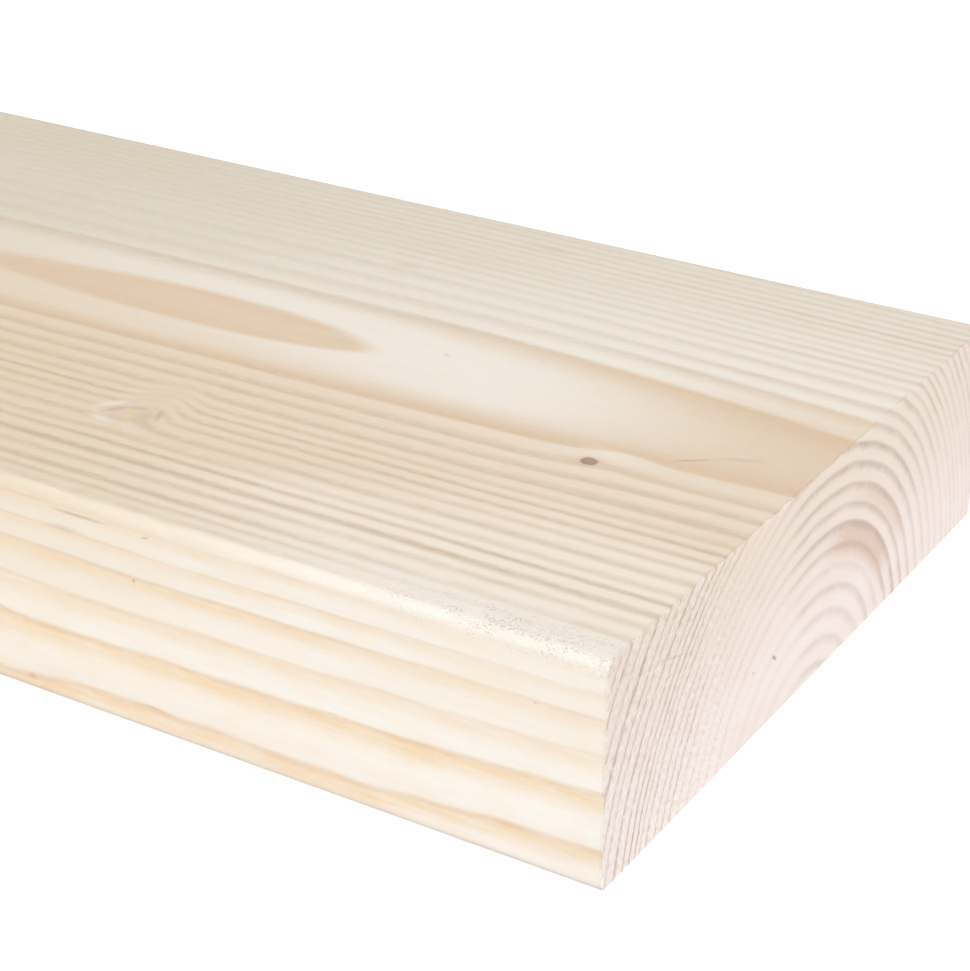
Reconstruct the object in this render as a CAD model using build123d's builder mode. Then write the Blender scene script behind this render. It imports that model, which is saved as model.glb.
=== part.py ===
"""A planed softwood plank: one rectangular section with eased arrises, sawn square at both ends.

Millimetres. +X runs along the grain, +Y across the width, +Z up through the
thickness, and the origin is at the centre of the underside.
"""

import os

from build123d import *

# Stock size, as planed
length = 2400.0
width = 140.0
thickness = 38.0

# Eased arrises, the long corners that the planer and handling have rounded
upper_arris_radius = 1.5
lower_arris_radius = 1.0

with BuildPart() as plank:
    # The section stands across the grain, with its underside on the ground
    with BuildSketch(Plane.YZ) as section:
        Rectangle(width, thickness, align=(Align.CENTER, Align.MIN))
        fillet(section.vertices().group_by(Axis.Y)[-1], radius=upper_arris_radius)
        fillet(section.vertices().group_by(Axis.Y)[0], radius=lower_arris_radius)

    # Run along the grain to both sawn ends, which keep their crisp cut edges
    extrude(amount=length / 2, both=True)

plank.part.label = "plank"

os.makedirs("parts", exist_ok=True)
export_step(plank.part, "parts/plank.step")
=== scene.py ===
"""Looks of a planed softwood plank: growth rings, sawn ends, worn arrises, painted shade and highlight, light,
floor and camera.

Places in the wood are in millimetres: along runs from the sawn end in view back
down the plank, across runs from the near side to the far one, and up runs from
the underside to the upper face.
"""

import math
from collections import namedtuple

import bpy
import numpy as np
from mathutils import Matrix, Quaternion, Vector


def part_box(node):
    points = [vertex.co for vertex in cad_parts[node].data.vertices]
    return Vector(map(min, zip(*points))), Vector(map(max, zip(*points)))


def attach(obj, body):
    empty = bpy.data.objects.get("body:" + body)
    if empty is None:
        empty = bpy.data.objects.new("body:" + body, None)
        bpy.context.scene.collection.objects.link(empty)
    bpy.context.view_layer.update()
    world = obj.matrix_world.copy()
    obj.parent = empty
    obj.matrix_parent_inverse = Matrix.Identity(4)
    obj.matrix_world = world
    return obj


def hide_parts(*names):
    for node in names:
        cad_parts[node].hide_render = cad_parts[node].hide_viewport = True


MM = 0.001


def srgb(red, green, blue):
    """A colour written as 8-bit screen values, as the linear colour that shaders use."""
    scaled = np.array((red, green, blue)) / 255
    linear = np.where(scaled <= 0.04045, scaled / 12.92, ((scaled + 0.055) / 1.055) ** 2.4)
    return (*linear.tolist(), 1.0)


# Years of growth from the pith outwards: ring width on the near and the far side, darkness of the latewood
YEARS = (
    (5.6, 5.5, 0.30), (5.4, 5.3, 0.30), (4.9, 4.7, 0.40), (4.5, 4.3, 0.35), (4.4, 4.6, 0.35),
    (4.2, 4.1, 0.50), (3.4, 3.5, 0.20), (3.5, 3.4, 0.65), (3.4, 3.4, 0.80), (2.7, 3.2, 0.65),
    (2.9, 3.3, 0.70), (2.8, 3.5, 0.78), (2.6, 3.2, 0.85), (2.2, 2.9, 0.60), (2.25, 2.5, 0.60),
    (2.75, 3.0, 0.65), (1.8, 2.0, 0.42), (1.5, 2.0, 0.75), (1.9, 2.0, 0.60), (1.9, 1.5, 0.50),
    (2.7, 2.2, 0.60), (2.7, 1.9, 0.42), (1.85, 1.8, 0.80), (3.25, 1.9, 0.85), (2.7, 2.0, 0.50),
    (3.0, 2.0, 0.75), (2.0, 2.0, 0.50), (2.1, 2.1, 0.45), (2.2, 2.0, 0.55), (2.1, 2.1, 0.65),
    (2.2, 2.0, 0.50), (2.3, 2.2, 0.60), (2.2, 2.0, 0.50), (2.2, 2.1, 0.60),
)
LATEWOOD_PLACE = 0.12  # middle of the latewood, inwards from its ring's edge, in ring widths
NEAR_GROWTH = (95.0, 118.0)  # angles about the pith between which the far widths give way to the near ones
NEAR_LAG = 6.0  # degrees by which that change comes later, further back
NEAR_LAG_ALONG = (15.0, 50.0)

# The pith, across and then up: its place at the sawn end, and the height and length of a wave and of a drift
PITH = (
    (68.3, (1.6, 430.0), (4.0, 2600.0)),
    (-12.7, (2.0, 560.0), (2.5, 1900.0)),
)

# Shape of the rings, as shares of their radius: two parts of an oval and one of a rounded triangle
OVAL_COSINE = 0.010
OVAL_SINE = -0.013
TRIANGLE_SINE = -0.009

# Slow waves of the rings: length along, length across, height, phase
WAVES = (
    (61.0, 43.0, 0.05, 2.0),
    (37.0, 29.0, 0.04, 0.3),
    (17.0, -13.0, 0.03, 1.1),
)

# Places where a knot or a slow year bends the rings: along, across, up, reach along, reach across, shift
BENDS = (
    (29.5, 55.5, 38.0, 5.5, 4.5, 0.95),
    (40.0, 11.5, 38.0, 60.0, 4.0, 0.4),
    (104.0, 33.0, 38.0, 4.6, 8.0, 2.4),
    (85.0, 0.0, 3.0, 32.0, 7.0, -0.52),
    (75.0, 0.0, 22.0, 90.0, 18.0, 0.42),
    (15.0, 82.5, 38.0, 35.0, 6.0, -0.38),
    (60.0, 90.0, 38.0, 40.0, 8.0, -0.55),
    (115.0, 75.0, 38.0, 30.0, 12.0, -0.38),
    (190.0, 72.0, 38.0, 42.0, 12.0, 0.33),
    (150.0, 97.0, 38.0, 70.0, 9.0, 0.9),
)

# The arrises' radii, as in the solid
UPPER_ARRIS = 1.5
LOWER_ARRIS = 1.0

# Reach of the mesh's finer rows, from the sawn ends and from the near upper arris
FINE_END = 4
FINE_ARRIS = 4.5

# Wear of the sawn ends and of the near upper arris
WEAR_SEED = 7
SAW_DEPTH = 0.05
CHIP_DEPTH = 0.3
CHIP_REACH = 0.3
DENT_DEPTH = 0.35
DENT_REACH = 2.5
SHARP_ANGLE = 40  # degrees from which an edge of the mesh shows as an edge

# Colours of the wood
EARLYWOOD = srgb(251, 243, 232)
ROSY_WOOD = srgb(254, 240, 223)
WARM_WOOD = srgb(232, 206, 175)
PALE_WOOD = srgb(252, 248, 240)
# painted shade: the deeper tone the wood is given away from the sawn end, where the light falls off
SHADED_WOOD = srgb(235, 215, 186)
GREYED_WOOD = srgb(222, 212, 192)
GOLDEN_LATEWOOD = srgb(245, 220, 186)
CREST_LATEWOOD = srgb(229, 200, 167)
DULL_LATEWOOD = srgb(207, 182, 154)
# white of torn fibres, partly a painted highlight of the rounded near upper arris
TORN_FIBRE_HIGHLIGHT = srgb(252, 251, 250)
# painted shade: the rounded near lower arris faces down, so it is darkened as if in shade
LOWER_ARRIS_SHADE = srgb(196, 180, 160)
END_PALE = srgb(250, 238, 234)
END_WARM = srgb(243, 228, 215)
END_LATEWOOD = srgb(196, 174, 161)
COMPRESSION_WOOD = srgb(226, 197, 178)
CUT_FIBRE = srgb(254, 251, 249)

# Tints that the colours are multiplied by
CLOUD_TINT = (0.97, 0.955, 0.94, 1)
ROSY_TINT = (1.0, 0.965, 0.955, 1)
YELLOW_TINT = (1.0, 0.985, 0.93, 1)
EDGE_TINT = (0.90, 0.84, 0.80, 1)
STREAK_TINT = (0.95, 0.90, 0.84, 1)
FIBRE_TINT = (0.94, 0.89, 0.83, 1)
FLECK_TINT = (0.93, 0.88, 0.82, 1)
FUZZ_TINT = (0.92, 0.89, 0.86, 1)
SPECK_TINT = (0.74, 0.735, 0.725, 1)
FOOT_TINT = (0.97, 0.96, 0.965, 1)
RIM_TINT = (0.84, 0.78, 0.73, 1)
END_NEAR_TINT = (1.0, 0.985, 0.96, 1)
END_FOOT_TINT = (0.95, 0.94, 0.92, 1)
END_FIBRE_TINT = (0.70, 0.68, 0.66, 1)

# Finish of the planed faces and of the sawn ends
PLANED_GLOSS = 0.25
END_GLOSS = 0.2
END_ROUGHNESS = 0.8
END_FALL = 0.24  # share of a year in which the ends' latewood falls away
ARRIS_SLANT = 2.5  # how much faster the wear and the painted highlight of the near upper arris fade down the side than over the top

# Axes that marks are turned about
ALONG, ACROSS, UP = range(3)

# Knots and small marks: middle, half size, turn in degrees, colour, strength, softness of the rim
MARK_RAGGEDNESS = 0.2
Mark = namedtuple("Mark", "middle half turn colour strength soft")
KNOT_BLUR = Mark((106, 36, 38), (8.5, 12.5, 4), 15, None, 0.8, 0.85)
UPPER_MARKS = (
    # A pin knot near the end, in pale wood that the grain bends round, with a fine check beside it
    Mark((30, 56.8, 38), (9, 3.0, 3), 12, srgb(250, 238, 222), 0.6, 0.95),
    Mark((19.4, 62.4, 38), (5, 0.55, 2), -37, srgb(200, 166, 138), 0.5, 0.9),
    Mark((12.5, 66.8, 38), (5, 1.2, 2), -22, srgb(206, 188, 170), 0.45, 0.95),
    Mark((33.2, 53.4, 38), (3.2, 2.6, 2), 0, srgb(226, 196, 170), 0.55, 0.8),
    Mark((33.2, 53.4, 38), (1.8, 1.6, 2), 20, srgb(154, 126, 112), 0.8, 0.35),
    Mark((33.1, 53.5, 38), (1.3, 1.15, 2), 20, srgb(184, 156, 140), 0.85, 0.5),
    # A smaller knot further back: a yellow heart, pale wood about it and a dark hook of grain
    Mark((105.6, 38, 38), (5.4, 10, 3), 15, srgb(232, 212, 189), 0.5, 0.9),
    Mark((108, 28.8, 38), (6.0, 5.0, 2), -30, srgb(228, 209, 189), 0.7, 0.9),
    Mark((103.4, 29.5, 38), (3.0, 3.2, 2), 0, srgb(220, 195, 169), 0.65, 0.9),
    Mark((109.5, 28.8, 38), (3.2, 1.0, 2), -49, srgb(198, 174, 152), 0.5, 0.9),
    Mark((106.4, 31.1, 38), (2.8, 1.0, 2), -16, srgb(204, 180, 156), 0.45, 0.9),
    Mark((101.6, 30.5, 38), (1.0, 3.8, 2), -24, srgb(198, 178, 150), 0.55, 0.9),
    Mark((111.4, 30.2, 38), (4.6, 1.3, 3), -48, srgb(249, 236, 219), 0.9, 0.9),
    Mark((109.3, 24.9, 38), (4.4, 1.4, 3), 4, srgb(247, 233, 218), 0.9, 0.9),
    Mark((106, 28, 38), (1.7, 1.8, 2), 0, srgb(243, 212, 166), 0.95, 0.8),
    # Flecks and smudges of the upper face
    Mark((75, 77, 38), (1.2, 0.8, 2), 5, srgb(205, 198, 188), 0.45, 0.9),
    Mark((85, 131, 38), (9, 1.6, 3), 3, srgb(200, 188, 168), 0.28, 0.9),
    Mark((104, 109, 38), (5, 1.6, 3), -4, srgb(208, 188, 162), 0.25, 0.9),
)
SIDE_MARKS = (
    # Fine checks and specks of the near side
    Mark((93.5, 0, 35), (8.0, 3, 0.5), 0, srgb(186, 172, 148), 0.6, 0.95),
    Mark((96.5, 0, 32), (5.0, 3, 0.8), 0, srgb(204, 190, 168), 0.45, 0.95),
    Mark((80.4, 0, 34.8), (1.1, 3, 0.3), 15, srgb(180, 165, 142), 0.55, 0.9),
    Mark((83.2, 0, 26.6), (0.45, 3, 0.45), 0, srgb(168, 148, 126), 0.6, 0.9),
    Mark((81, 0, 4.5), (3.5, 3, 0.25), 0, srgb(176, 156, 134), 0.5, 0.95),
    Mark((106, 0, 2.4), (1.4, 3, 0.7), 0, srgb(190, 172, 148), 0.5, 0.9),
    Mark((11.5, 0, 28), (0.5, 3, 0.3), 0, srgb(190, 172, 150), 0.4, 0.9),
)
END_MARKS = (
    # A speck and two fine cuts
    Mark((0, 55.4, 11.2), (3, 1.6, 0.5), -38, srgb(160, 138, 126), 0.75, 0.8),
    Mark((0, 47.8, 12.2), (3, 0.7, 0.35), -45, srgb(180, 160, 148), 0.5, 0.9),
    Mark((0, 20, 29), (3, 6.5, 0.3), -18, srgb(190, 172, 160), 0.4, 0.9),
)

# Floor and light
WHITE = (1, 1, 1, 1)
FLOOR_HALF = 14.0
FLOOR_COLOUR = (0.80, 0.80, 0.80, 1)
FLOOR_GLOW = 0.4
SKY_LIGHT = 0.5
KEY_ENERGY = 2.0
KEY_SPREAD = 40  # degrees
KEY_FROM = (0.524, -0.565, 0.634)

# Camera: its place from the near lower corner of the end in view, its lens, and its angles in degrees
CAMERA_OFFSET = (0.1361, -0.2553, 0.2092)
CAMERA_LENS = 91.26
CAMERA_SENSOR = 36
CAMERA_CLIP = 0.01
CAMERA_PITCH = 26.534
CAMERA_YAW = 121.434
CAMERA_ROLL = 0.313


# Growth rings


def pith(along):
    """Across and up of the pith, which wanders slowly under the plank."""
    turn = 2 * np.pi * along
    return [
        start + wave * np.sin(turn / wave_length) + drift * (1 - np.cos(turn / drift_length))
        for start, (wave, wave_length), (drift, drift_length) in PITH
    ]


def ring_number(radius, nearness):
    """How many rings lie inside each place, where nearness goes from the far ring widths to the near ones."""
    ring = np.zeros_like(radius)
    start = np.zeros_like(radius)
    for near_width, far_width, _ in YEARS:
        wide = far_width + (near_width - far_width) * nearness
        ring += np.clip((radius - start) / wide, 0, 1)
        start += wide
    return ring


def smooth(value, low, high):
    """Climbs smoothly from 0 at low to 1 at high."""
    share = np.clip((value - low) / (high - low), 0, 1)
    return share * share * (3 - 2 * share)


def growth(place):
    """Ring number, latewood strength, angle about the pith and steepness of the rings at each place."""
    along, across, up = place.T
    pith_across, pith_up = pith(along)
    sideways, upwards = across - pith_across, up - pith_up
    angle = np.arctan2(upwards, sideways)
    steep = np.abs(np.cos(angle))
    oval = 1 + OVAL_COSINE * np.cos(2 * angle) + OVAL_SINE * np.sin(2 * angle)
    oval += TRIANGLE_SINE * np.sin(3 * angle)
    radius = np.hypot(sideways, upwards) * oval
    for wave_along, wave_across, height, phase in WAVES:
        turn = along / wave_along + (across + up) / wave_across
        radius += steep * height * np.sin(2 * np.pi * turn + phase)
    for bend_along, bend_across, bend_up, reach_along, reach_across, shift in BENDS:
        far = ((along - bend_along) / reach_along) ** 2
        far += ((across - bend_across) ** 2 + (up - bend_up) ** 2) / reach_across**2
        radius += shift * np.exp(-far)

    degrees = np.degrees(angle)
    lag = NEAR_LAG * smooth(along, *NEAR_LAG_ALONG)
    ring = ring_number(radius, smooth(degrees - lag, *NEAR_GROWTH))
    darkness = np.array(YEARS)[:, 2]
    latewood = np.interp(ring, np.arange(1, len(YEARS) + 1) - LATEWOOD_PLACE, darkness)
    return {"ring": ring, "latewood": latewood, "angle": degrees, "steep": steep}


# Shape of the plank


def graded(*runs):
    """Points along an edge; each run is its start, its end and about how far apart its points are."""
    points = [
        np.linspace(start, end, max(1, round((end - start) / gap)), endpoint=False)
        for start, end, gap in runs
    ]
    return np.concatenate([*points, [runs[-1][1]]])


def quads(grid, flip):
    """The quads of a grid of point numbers, wound the other way if they flip."""
    corners = [grid[:-1, :-1], grid[1:, :-1], grid[1:, 1:], grid[:-1, 1:]]
    return np.stack(corners[::-1] if flip else corners, -1).reshape(-1, 4)


def block_surface(alongs, acrosses, ups):
    """Points of a block's surface, its quads, and how many of the quads are on its two ends."""
    shape = len(alongs), len(acrosses), len(ups)
    shell = np.ones(shape, bool)
    shell[1:-1, 1:-1, 1:-1] = False
    number = np.full(shape, -1)
    number[shell] = np.arange(shell.sum())
    points = np.stack(np.meshgrid(alongs, acrosses, ups, indexing="ij"), -1)[shell]
    ends = [quads(number[0], False), quads(number[-1], True)]
    sides = [quads(number[:, 0], True), quads(number[:, -1], False)]
    flats = [quads(number[:, :, 0], False), quads(number[:, :, -1], True)]
    faces = np.concatenate(ends + sides + flats)
    return points, faces, sum(map(len, ends))


def round_arrises(points, width, thickness):
    """Moves the points by the four long corners of the section onto their roundings."""
    section = points[:, 1:]
    corners = (
        (0, 0, LOWER_ARRIS), (width, 0, LOWER_ARRIS),
        (0, thickness, UPPER_ARRIS), (width, thickness, UPPER_ARRIS),
    )
    for across, up, radius in corners:
        inwards = np.array((1 if across == 0 else -1, 1 if up == 0 else -1))
        centre = np.array((across, up)) + inwards * radius
        out = (centre - section) * inwards
        near = (out > 0).all(1)
        reach = out[near].max(1, keepdims=True)
        length = np.linalg.norm(out[near], axis=1, keepdims=True)
        section[near] = centre - inwards * out[near] * reach / length


def wear(points, length, thickness):
    """Roughens the sawn ends and dents the near upper arris, always inwards."""
    rng = np.random.default_rng(WEAR_SEED)
    along, across, up = points.T
    for end, inwards in ((0, 1), (length, -1)):
        sawn = along == end
        points[sawn, 0] += inwards * rng.uniform(0, SAW_DEPTH, sawn.sum())
        chipped = sawn & ((across < CHIP_REACH) | (up > thickness - CHIP_REACH))
        points[chipped, 0] += inwards * CHIP_DEPTH * rng.random(chipped.sum()) ** 2
    from_arris = across + thickness - up
    dents = 0.5 + 0.3 * np.sin(along / 2.9) + 0.2 * np.sin(along / 1.7 + 1) * np.sin(along / 11)
    depth = DENT_DEPTH * dents * np.clip(1 - from_arris / DENT_REACH, 0, 1)
    points[:, 1] += depth
    points[:, 2] -= depth


def plank_mesh(width, thickness, length):
    """The plank's surface, with the growth of the wood on its points."""
    far_end, far_arris = length - FINE_END, width - UPPER_ARRIS
    worn, upper_arris = thickness - FINE_ARRIS, thickness - UPPER_ARRIS
    alongs = graded(
        (0, FINE_END, 1), (FINE_END, 50, 1.5), (50, 96, 2), (96, 122, 1),
        (122, 250, 4), (250, far_end, 32), (far_end, length, 2),
    )
    acrosses = graded(
        (0, UPPER_ARRIS, 0.3), (UPPER_ARRIS, FINE_ARRIS, 0.5),
        (FINE_ARRIS, far_arris, 1.2), (far_arris, width, 0.4),
    )
    ups = graded(
        (0, LOWER_ARRIS, 0.25), (LOWER_ARRIS, worn, 1.2),
        (worn, upper_arris, 0.5), (upper_arris, thickness, 0.3),
    )
    place, faces, end_faces = block_surface(alongs, acrosses, ups)
    round_arrises(place, width, thickness)
    wear(place, length, thickness)

    mesh = bpy.data.meshes.new("plank_timber")
    row = place * (-MM, MM, MM) + (length / 2 * MM, -width / 2 * MM, 0)
    mesh.from_pydata(row, [], faces)
    mesh.polygons.foreach_set("use_smooth", np.ones(len(faces), bool))
    mesh.polygons.foreach_set("material_index", (np.arange(len(faces)) < end_faces).astype(np.int32))
    mesh.set_sharp_from_angle(angle=math.radians(SHARP_ANGLE))
    for name, values in growth(place).items():
        mesh.attributes.new(name, "FLOAT", "POINT").data.foreach_set("value", values)
    mesh.update()
    return mesh


# Shader nodes

MIX_COLOURS = 6, 7, 2  # a mix node's colour sockets: the two inputs and the output


class Signal:
    """A number or vector that shader nodes work out at each point; arithmetic on it adds nodes."""

    def __init__(self, socket):
        self.socket = socket
        self.tree = socket.id_data

    def math(self, operation, *values):
        """A sum, product or the like of some values."""
        return add_node(self.tree, "ShaderNodeMath", *values, operation=operation)

    def __add__(self, other):
        return self.math("ADD", self, other)

    def __sub__(self, other):
        return self.math("SUBTRACT", self, other)

    def __rsub__(self, other):
        return self.math("SUBTRACT", other, self)

    def __mul__(self, other):
        return self.math("MULTIPLY", self, other)

    __radd__ = __add__
    __rmul__ = __mul__

    def greater(self, other):
        """The greater of two signals at each point."""
        return self.math("MAXIMUM", self, other)

    def fraction(self):
        return self.math("FRACT", self)

    def power(self, exponent):
        return self.math("POWER", self, exponent)

    def rise(self, low, high):
        """Climbs smoothly from 0 at low to 1 at high, or falls where low is the greater."""
        return add_node(self.tree, "ShaderNodeMapRange", self, low, high, interpolation_type="SMOOTHSTEP")


def feed(socket, value):
    """Gives a socket a plain value, or a link from a signal."""
    if isinstance(value, Signal):
        socket.id_data.links.new(value.socket, socket)
    else:
        socket.default_value = value


def add_node(tree, kind, *values, output=0, **settings):
    """Adds a node with its settings, feeds its inputs in order, and returns one of its outputs."""
    node = tree.nodes.new(kind)
    for name, value in settings.items():
        setattr(node, name, value)
    for socket, value in zip(node.inputs, values):
        feed(socket, value)
    return Signal(node.outputs[output])


def blend(factor, under, over, how="MIX"):
    """A colour that goes from under to over as the factor goes from 0 to 1."""
    under_input, over_input, result_output = MIX_COLOURS
    node = factor.tree.nodes.new("ShaderNodeMix")
    node.data_type = "RGBA"
    node.blend_type = how
    feed(node.inputs["Factor"], factor)
    feed(node.inputs[under_input], under)
    feed(node.inputs[over_input], over)
    return Signal(node.outputs[result_output])


def darken(factor, colour, tint):
    """A colour multiplied by a tint, as far as the factor says."""
    return blend(factor, colour, tint, "MULTIPLY")


def attribute(tree, name):
    """A value that the mesh keeps on its points."""
    return add_node(tree, "ShaderNodeAttribute", attribute_name=name, output="Fac")


def wood_place(tree, length, width):
    """Along, across and up in millimetres, as the mesh code has them."""
    place = add_node(tree, "ShaderNodeTexCoord", output="Object")
    return add_node(tree, "ShaderNodeVectorMath", place, (-1 / MM, 1 / MM, 1 / MM),
                    (length / 2, width / 2, 0), operation="MULTIPLY_ADD")


def split(place):
    """The three parts of a vector."""
    node = place.tree.nodes.new("ShaderNodeSeparateXYZ")
    feed(node.inputs[0], place)
    return [Signal(socket) for socket in node.outputs]


def noise(place, size, detail=2.0, roughness=0.5):
    """Soft noise from -1 to 1 whose lumps have about the given size along, across and up."""
    scaled = add_node(place.tree, "ShaderNodeVectorMath", place, size, operation="DIVIDE")
    node = place.tree.nodes.new("ShaderNodeTexNoise")
    feed(node.inputs["Vector"], scaled)
    feed(node.inputs["Scale"], 1.0)
    feed(node.inputs["Detail"], detail)
    feed(node.inputs["Roughness"], roughness)
    return Signal(node.outputs["Fac"]) * 2 - 1


def new_surface(name):
    """An empty material with its node tree and its shader."""
    material = bpy.data.materials.new(name)
    material.use_nodes = True
    return material, material.node_tree, material.node_tree.nodes["Principled BSDF"]


def add_bump(tree, shader, height_mm):
    """Turns a height in millimetres into the shader's normal."""
    node = tree.nodes.new("ShaderNodeBump")
    feed(node.inputs["Distance"], MM)
    feed(node.inputs["Height"], height_mm)
    tree.links.new(node.outputs["Normal"], shader.inputs["Normal"])


# Wood


class Timber:
    """A wood material in the making: where each point is in the plank, and its growth rings."""

    def __init__(self, name, length, width):
        self.material, self.tree, self.shader = new_surface(name)
        self.place = wood_place(self.tree, length, width)
        self.along, self.across, self.up = split(self.place)
        self.ring = attribute(self.tree, "ring")
        self.latewood = attribute(self.tree, "latewood")
        self.angle = attribute(self.tree, "angle")
        self.steep = attribute(self.tree, "steep")
        self.ragged = self.noise((2, 0.8, 0.8))

    def noise(self, size, detail=2.0, roughness=0.5):
        """Soft noise in the wood's own place."""
        return noise(self.place, size, detail, roughness)

    def turn_of_year(self, wobble, fall):
        """How far through its year each point is, with the ring's edge in the middle of the fall."""
        return (self.ring + wobble - fall * 0.5).fraction()

    def mark(self, mark, axis):
        """How much a mark covers each point; axis is the one that the mark is turned about."""
        turn = [0.0, 0.0, 0.0]
        turn[axis] = math.radians(mark.turn)
        inside = add_node(self.tree, "ShaderNodeMapping", self.place, mark.middle, turn, mark.half,
                          vector_type="TEXTURE")
        distance = add_node(self.tree, "ShaderNodeVectorMath", inside, operation="LENGTH", output="Value")
        return (distance + self.ragged * MARK_RAGGEDNESS).rise(1.0, 1.0 - mark.soft) * mark.strength

    def finish(self, colour, roughness, specular, height_mm):
        """Gives the shader its colour, gloss and fine relief, and returns the material."""
        feed(self.shader.inputs["Base Color"], colour)
        feed(self.shader.inputs["Roughness"], roughness)
        feed(self.shader.inputs["Specular IOR Level"], specular)
        add_bump(self.tree, self.shader, height_mm)
        return self.material


def latewood_band(turn, fall, first, sharp=1.0):
    """How dark the latewood is through the turn of a year: it grows from first, and falls away at the end."""
    peak = 1 - fall
    return turn.rise(first, peak).power(sharp) * turn.rise(1.0, peak)


def add_marks(wood, colour, marks, axis):
    """Lays marks over a colour, each turned about the axis."""
    for mark in marks:
        colour = blend(wood.mark(mark, axis), colour, mark.colour)
    return colour


# Planed faces


class PlanedTimber(Timber):
    """Long grain: the upper face and the sides, the zones in which they differ, and their noises."""

    def __init__(self, length, width, thickness):
        super().__init__("planed_softwood", length, width)
        self.slow = self.noise((160, 14, 14))
        self.streak = self.noise((60, 0.9, 0.9), 3.0, 0.55)
        self.mottle = self.noise((14, 2.4, 2.4))
        self.fine = self.noise((7, 0.28, 0.28), 2.0, 0.6)
        self.flecks = self.noise((2.4, 0.7, 0.7), 2.0, 0.6)
        self.fuzz = self.noise((0.7, 0.45, 0.45), 1.0)
        self.frost = self.noise((0.45, 0.28, 0.28), 2.0, 0.6)
        self.tufts = self.noise((7, 2, 2), 3.0)
        self.find_faces(thickness)
        self.find_wear_and_highlight()

    def find_faces(self, thickness):
        """The upper face, the sides, and parts of them that have their own tone."""
        self.from_arris = self.across + (thickness - self.up) * ARRIS_SLANT
        ragged_arris = self.from_arris + self.noise((6, 1.5, 1.5), 3.0) * 3.0
        self.flat = self.up.rise(thickness - 3.0, thickness - 0.5) * ragged_arris.rise(-0.6, 5.0)
        self.side = 1 - self.flat
        self.crest = self.across.rise(46, 58) * (self.across + self.along * 0.08).rise(98, 90)
        self.far = self.flat * (self.across + self.slow * 10).rise(94, 140)
        self.by_corner = self.side * self.up.rise(15, 22) * self.along.rise(55, 15)

    def find_wear_and_highlight(self):
        """The torn fibres of the near upper arris and the scuffs about them, where a highlight of the rounded
        arris is also painted.
        """
        self.torn_and_highlight = (self.from_arris + self.tufts * 6.0).rise(8.5, 1.0) * self.along.rise(70, 20)
        patches = self.noise((10, 4, 4), 3.0)
        self.scuffs_and_highlight = (self.from_arris + patches * 9.0).rise(17, 2) * self.along.rise(75, 25)


def tone_by_place(wood):
    """Earlywood: rosier by the near side, warmer in the middle and greyer to the far side."""
    colour = blend(wood.mottle.rise(0.4, -0.4) * wood.side * 0.9, EARLYWOOD, PALE_WOOD)
    near = wood.flat * wood.across.rise(64, 46)
    colour = blend(near * 0.8 + wood.mottle.rise(0.0, 0.5) * 0.35, colour, ROSY_WOOD)
    middle = wood.across.rise(26, 40) * 0.40 + wood.across.rise(54, 62) * 0.14
    middle = middle * wood.across.rise(96, 82)
    further = (wood.across + wood.slow * 8 + wood.along.rise(50, 100) * 14).rise(22, 36)
    further = further * (wood.across - wood.along * 0.1).rise(60, 48) * wood.along.rise(15, 60)
    colour = blend(wood.flat * (middle * wood.along.rise(62, 8) + further * 0.4), colour, WARM_WOOD)
    return blend(wood.far * 0.45, colour, GREYED_WOOD)


def add_falloff_shade(wood, colour):
    """Painted shade: deepens the wood away from the sawn end as the light falls off, more on the upper face
    than on the sides; the crest of the figure follows later.
    """
    crest = wood.flat * wood.across.rise(50, 60) * wood.across.rise(94, 84)
    # painted shade that grows away from the sawn end
    falloff = (wood.along + wood.slow * 30 - crest * 60).rise(10, 210)
    greyed = wood.across.rise(50, 100) * (wood.along.rise(800, 200) * 0.6 + 0.4)
    upper_side = wood.side * wood.up.rise(14, 26) * 0.5
    depth = wood.flat * 0.6 + upper_side + 0.35 - wood.far * 0.12
    colour = blend(falloff * depth, colour, blend(greyed, SHADED_WOOD, GREYED_WOOD))
    arris = wood.from_arris.rise(7, 1) * wood.along.rise(30, 90)
    colour = blend(arris * 0.3, colour, GREYED_WOOD)
    near = wood.flat * wood.across.rise(22, 14) * wood.along.rise(60, 100)
    colour = blend(near * 0.35, colour, SHADED_WOOD)
    past_crest = wood.flat * wood.across.rise(78, 88) * wood.across.rise(126, 112) * wood.along.rise(30, 60)
    return blend(past_crest * 0.12, colour, PALE_WOOD)


def add_mottling(wood, colour):
    """Clouds the wood, and turns its tint a little to rose and to yellow."""
    cloud = wood.noise((40, 9, 9), 3.0)
    colour = darken(cloud.rise(0.0, 0.7) * 0.6, colour, CLOUD_TINT)
    tint = wood.noise((12, 3, 3), 3.0)
    colour = darken(tint.rise(0.0, 0.6) * 0.85, colour, ROSY_TINT)
    return darken(tint.rise(0.0, -0.6) * 0.85, colour, YELLOW_TINT)


def band_strength(wood):
    """Strength of each year's latewood: uneven, and fainter by the corner, to the far side and at the knot."""
    plain = wood.flat * wood.crest
    patchy = wood.noise((12, 1.4, 1.4), 3.0) * wood.side * 0.9
    uneven = wood.noise((24, 2.5, 2.5)) * (0.4 - plain * 0.25) + wood.flecks * (0.25 - plain * 0.2) + patchy
    far_back = wood.across.rise(80, 96) * (wood.along.rise(0, 90) * 0.55 + wood.along.rise(90, 170) * 0.2)
    far_front = wood.across.rise(97, 106) * wood.along.rise(110, 0) * 0.32
    strength = wood.latewood * (1 + uneven)
    strength = strength * (1 - wood.torn_and_highlight * 0.4) * (1 - wood.scuffs_and_highlight * wood.flat * 0.4)
    strength = strength * (1 - wood.by_corner * 0.35) * (1 - wood.flat * (far_back + far_front))
    return strength * (1 - wood.mark(KNOT_BLUR, UP))


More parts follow.
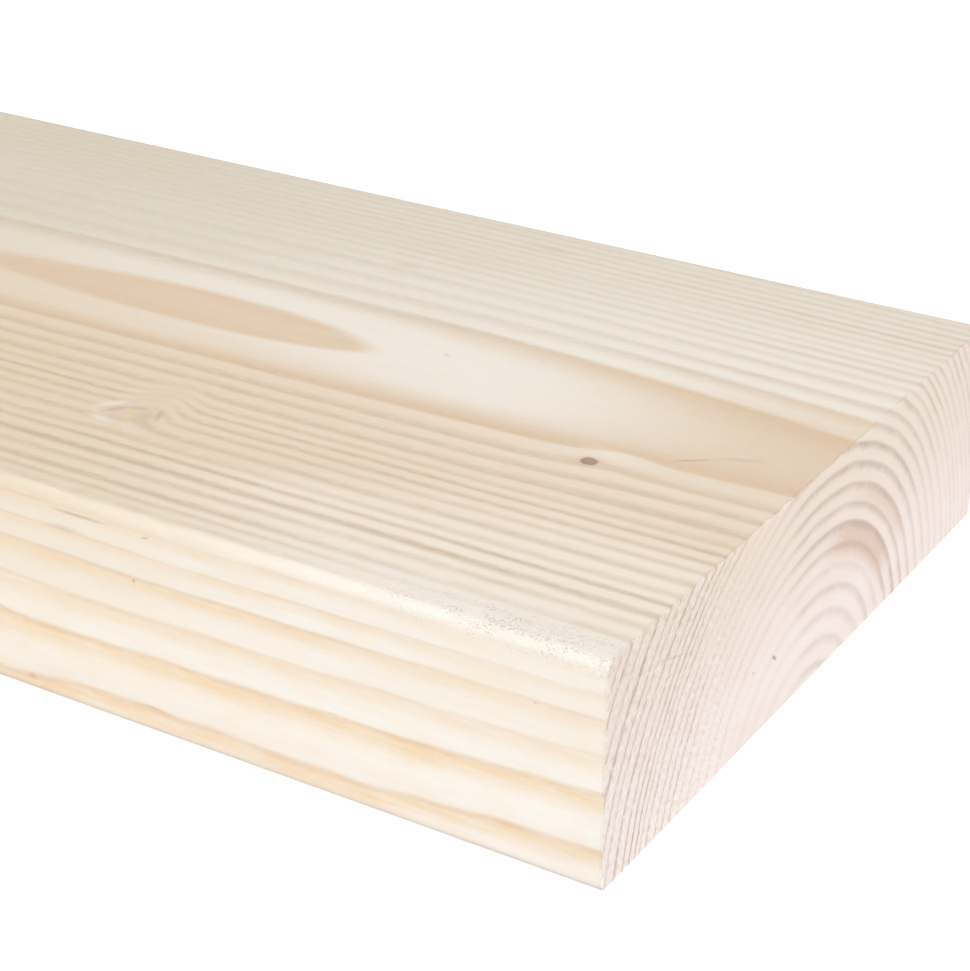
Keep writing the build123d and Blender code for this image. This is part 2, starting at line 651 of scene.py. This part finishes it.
def latewood_bands(wood):
    """How dark each point's latewood is, and the thin outer lines of the sides' bands."""
    wobble = wood.noise((6, 1.8, 1.8)) * 0.09 + wood.flecks * 0.05 + wood.streak * 0.05 + wood.fuzz * 0.03
    wobble = wobble * (wood.flat * 0.6 + 0.4)
    fall = wood.steep * wood.flat * 0.46 + wood.side * 0.2 + 0.04
    turn = wood.turn_of_year(wobble * wood.steep + 0.025, fall)
    strength = band_strength(wood)
    edge = turn.rise(0.74, 0.86) * turn.rise(0.95, 0.86) * strength * wood.side
    band = latewood_band(turn, fall, 0.28 - wood.flat * 0.08) * strength
    return band * (1 - wood.flat * (1 - wood.crest) * 0.22), edge


def add_latewood(wood, colour, band, edge):
    """Lays the latewood over the ground: golden on the sides, and deeper on the upper face."""
    upper_latewood = blend(wood.crest, DULL_LATEWOOD, CREST_LATEWOOD)
    colour = blend(band, colour, blend(wood.flat, GOLDEN_LATEWOOD, upper_latewood))
    return darken(edge, colour, EDGE_TINT)


def add_fibres(wood, colour):
    """Streaks, fibres and flecks, calmer on the crest and on the far side of the upper face."""
    calm = wood.flat * wood.crest.greater(wood.across.rise(88, 104) * 0.8)
    colour = darken(wood.streak.rise(0.0, 0.9) * (0.4 - calm * 0.25), colour, STREAK_TINT)
    colour = darken(wood.fine.rise(0.0, 0.8) * (0.35 - calm * 0.2), colour, FIBRE_TINT)
    lively = wood.flat * (0.16 - wood.crest * 0.15) + 0.18
    colour = darken(wood.flecks.rise(0.0, 0.8) * lively, colour, FLECK_TINT)
    colour = blend(wood.flecks.rise(0.0, -0.8) * lively, colour, PALE_WOOD)
    return darken(wood.fuzz.rise(0.1, 0.8) * wood.flat * (1 - wood.crest) * 0.2, colour, FUZZ_TINT)


def add_torn_arris_highlight(wood, colour):
    """Pale scuffs, grey specks and white torn fibres about the near upper arris; the pale and white are partly
    a painted highlight of the rounded arris.
    """
    # pale scuffs and white fibres, partly a painted highlight along the arris
    colour = blend(wood.scuffs_and_highlight * wood.flat * 0.45, colour, PALE_WOOD)
    specks = wood.torn_and_highlight * wood.frost.rise(0.0, 0.25) * wood.tufts.rise(0.15, -0.2) * wood.along.rise(50, 22)
    colour = darken(specks, colour, SPECK_TINT)
    return blend(wood.torn_and_highlight * wood.frost.rise(0.0, -0.25) * 0.9, colour, TORN_FIBRE_HIGHLIGHT)


def add_foot_rim_and_arris_shade(wood, colour):
    """Darkens the foot of the sides and the rim of the sawn end, and paints shade on the near lower arris,
    which faces down.
    """
    colour = darken(wood.side * wood.up.rise(10, 5), colour, FOOT_TINT)
    # painted shade along the near lower arris
    under = (wood.across + wood.up).rise(1.6, 0.4)
    colour = blend(under * 0.3, colour, LOWER_ARRIS_SHADE)
    rim = wood.along.rise(0.8, 0.2) * wood.noise((2, 2, 2)).rise(-0.3, 0.3)
    return darken(rim * 0.6, colour, RIM_TINT)


def planed_wood(length, width, thickness):
    """Planed long grain: latewood bands, fibres, small marks, a torn arris with a painted highlight, painted
    shade away from the end and on the near lower arris, and a darker foot and rim.
    """
    wood = PlanedTimber(length, width, thickness)
    band, edge = latewood_bands(wood)
    colour = add_mottling(wood, add_falloff_shade(wood, tone_by_place(wood)))
    colour = blend(wood.by_corner * 0.13, colour, GOLDEN_LATEWOOD)
    colour = add_latewood(wood, colour, band, edge)
    colour = add_fibres(wood, colour)
    colour = add_marks(wood, colour, UPPER_MARKS, UP)
    colour = add_marks(wood, colour, SIDE_MARKS, ACROSS)
    colour = add_torn_arris_highlight(wood, colour)
    colour = add_foot_rim_and_arris_shade(wood, colour)
    roughness = 0.66 + wood.fine * 0.06 - band * 0.05
    height = wood.fine * 0.012 + wood.flecks * 0.012 + wood.torn_and_highlight * wood.frost * 0.035
    return wood.finish(colour, roughness, PLANED_GLOSS, height)


# Sawn ends


class EndGrain(Timber):
    """Sawn end grain: its noises, its near part, and how rough the cut is."""

    def __init__(self, length, width):
        super().__init__("sawn_end_grain", length, width)
        by_ring = add_node(self.tree, "ShaderNodeCombineXYZ", self.ring * 7, self.angle * 0.9, self.along)
        self.fuzz = noise(by_ring, (1, 1, 1))
        self.lumps = self.noise((6, 6, 6), 3.0)
        self.near_side = self.across.rise(62, 34)
        self.rough = self.across.rise(50, 24) + 0.2

    def arc(self, first, last, start, stop):
        """A piece of some rings: where it comes in and goes out, in ring numbers and then in degrees."""
        rings = self.ring.rise(*first) * self.ring.rise(*last)
        return rings * self.angle.rise(*start) * self.angle.rise(*stop)


def end_lines(wood):
    """How dark each point's thin line of latewood is; some are blurred low down or faint to the far side."""
    inner = wood.ring.rise(13.5, 11)
    middle = wood.angle.rise(146, 132) * wood.ring.rise(17.5, 14)
    blurred = wood.angle.rise(92, 108) * inner.greater(middle)
    faint = wood.angle.rise(48, 26) * wood.ring.rise(9, 13)
    near = wood.near_side * (wood.ring.rise(15, 18) * 0.6 - wood.ring.rise(21, 22.5) * 0.45)
    strength = wood.latewood * (1.1 - blurred * 0.75 - faint * 0.75 + near)
    strength = strength * (1 + wood.lumps * 0.7)
    turn = wood.turn_of_year(wood.lumps * 0.14 + wood.fuzz * 0.06 + 0.04, END_FALL)
    return latewood_band(turn, END_FALL, wood.near_side * 0.2 + 0.25, 1.5) * strength * 0.68


def end_tone(wood):
    """Pale below and warmer above, with two arcs of compression wood."""
    warm = (wood.up + wood.across * 0.08 + wood.lumps * 8).rise(8, 40)
    heart = wood.arc((6.8, 7.8), (9.1, 8.9), (28, 42), (86, 66))
    outer = wood.arc((9.3, 10.6), (11.1, 10.9), (28, 40), (74, 54))
    return blend(heart * 0.8 + outer * 0.5, blend(warm, END_PALE, END_WARM), COMPRESSION_WOOD)


def add_cut_fibres(wood, colour):
    """Yellows the near part, greys the foot, and lays dark and white cut fibres along the rings."""
    colour = darken(wood.near_side * 0.5, colour, END_NEAR_TINT)
    foot = wood.up.rise(9, 2) * wood.across.rise(32, 46)
    colour = darken(foot * 0.7, colour, END_FOOT_TINT)
    colour = darken(wood.fuzz.rise(0.05, 0.4) * wood.rough * 0.5, colour, END_FIBRE_TINT)
    return blend(wood.fuzz.rise(-0.05, -0.5) * wood.rough * 0.85, colour, CUT_FIBRE)


def sawn_end(length, width):
    """Sawn end grain: thin latewood lines, darker compression wood and a fuzz of cut fibres."""
    wood = EndGrain(length, width)
    line = end_lines(wood)
    colour = blend(line, end_tone(wood), END_LATEWOOD)
    colour = add_marks(wood, colour, END_MARKS, ALONG)
    colour = add_cut_fibres(wood, colour)
    height = wood.fuzz * wood.rough * 0.05 - line * 0.02
    return wood.finish(colour, END_ROUGHNESS, END_GLOSS, height)


# Floor, light and camera


def seen_rays(tree):
    """1 for the rays of views and reflections, and 0 for the rays that carry light."""
    path = tree.nodes.new("ShaderNodeLightPath")
    seen = Signal(path.outputs["Is Camera Ray"])
    for ray in ("Is Glossy Ray", "Is Transmission Ray"):
        seen = seen.greater(Signal(path.outputs[ray]))
    return seen


def add_floor(height):
    """A wide pale floor; its glow shows only to seen rays, so it looks white and still takes the shadow."""
    half = FLOOR_HALF
    mesh = bpy.data.meshes.new("studio_floor")
    corners = [(x, y, height) for x, y in ((-half, -half), (half, -half), (half, half), (-half, half))]
    mesh.from_pydata(corners, [], [(0, 1, 2, 3)])
    floor = bpy.data.objects.new("studio_floor", mesh)
    bpy.context.collection.objects.link(floor)
    material, tree, shader = new_surface("studio_floor")
    tree.nodes.remove(shader)
    lit = add_node(tree, "ShaderNodeBsdfDiffuse", FLOOR_COLOUR)
    glow = add_node(tree, "ShaderNodeEmission", WHITE, seen_rays(tree) * FLOOR_GLOW)
    surface = add_node(tree, "ShaderNodeAddShader", lit, glow)
    feed(tree.nodes["Material Output"].inputs["Surface"], surface)
    mesh.materials.append(material)


def add_world():
    """Soft light from all round, and a white background to the camera."""
    world = bpy.data.worlds.new("studio")
    world.use_nodes = True
    tree = world.node_tree
    shader = tree.nodes["Background"]
    feed(shader.inputs["Color"], WHITE)
    feed(shader.inputs["Strength"], seen_rays(tree) * (1 - SKY_LIGHT) + SKY_LIGHT)
    bpy.context.scene.world = world


def add_key_light():
    """A broad soft light from the camera's side, as from a large softbox."""
    light = bpy.data.lights.new("key", "SUN")
    light.energy = KEY_ENERGY
    light.angle = math.radians(KEY_SPREAD)
    key = bpy.data.objects.new("key", light)
    key.rotation_mode = "QUATERNION"
    key.rotation_quaternion = Vector(KEY_FROM).to_track_quat("Z", "Y")
    bpy.context.collection.objects.link(key)


def add_camera(corner):
    """The photograph's view of the near lower corner of the sawn end."""
    camera = bpy.data.cameras.new("camera")
    camera.lens = CAMERA_LENS
    camera.sensor_width = CAMERA_SENSOR
    camera.clip_start = CAMERA_CLIP
    view = bpy.data.objects.new("camera", camera)
    pitch, yaw = math.radians(CAMERA_PITCH), math.radians(CAMERA_YAW)
    level = math.cos(pitch)
    forward = Vector((level * math.cos(yaw), level * math.sin(yaw), -math.sin(pitch)))
    view.location = Vector(corner) + Vector(CAMERA_OFFSET)
    view.rotation_mode = "QUATERNION"
    roll = Quaternion((0, 0, 1), math.radians(CAMERA_ROLL))
    view.rotation_quaternion = forward.to_track_quat("-Z", "Y") @ roll
    bpy.context.collection.objects.link(view)
    bpy.context.scene.camera = view


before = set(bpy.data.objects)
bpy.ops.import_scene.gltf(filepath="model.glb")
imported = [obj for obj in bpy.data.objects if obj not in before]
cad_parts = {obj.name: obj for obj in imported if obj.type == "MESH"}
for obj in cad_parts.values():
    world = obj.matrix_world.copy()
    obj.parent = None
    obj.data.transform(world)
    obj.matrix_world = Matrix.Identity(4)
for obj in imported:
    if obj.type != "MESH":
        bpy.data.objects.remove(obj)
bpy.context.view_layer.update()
lowest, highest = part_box("plank")
length, width, thickness = ((highest - lowest) / MM).to_tuple(3)

add_camera((highest.x, lowest.y, lowest.z))

plank = bpy.data.objects.new("plank_timber", plank_mesh(width, thickness, length))
bpy.context.collection.objects.link(plank)
plank.data.materials.append(planed_wood(length, width, thickness))
plank.data.materials.append(sawn_end(length, width))
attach(plank, "root")
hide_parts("plank")

add_floor(lowest.z)
add_world()
add_key_light()
bpy.context.scene.view_settings.view_transform = "Standard"
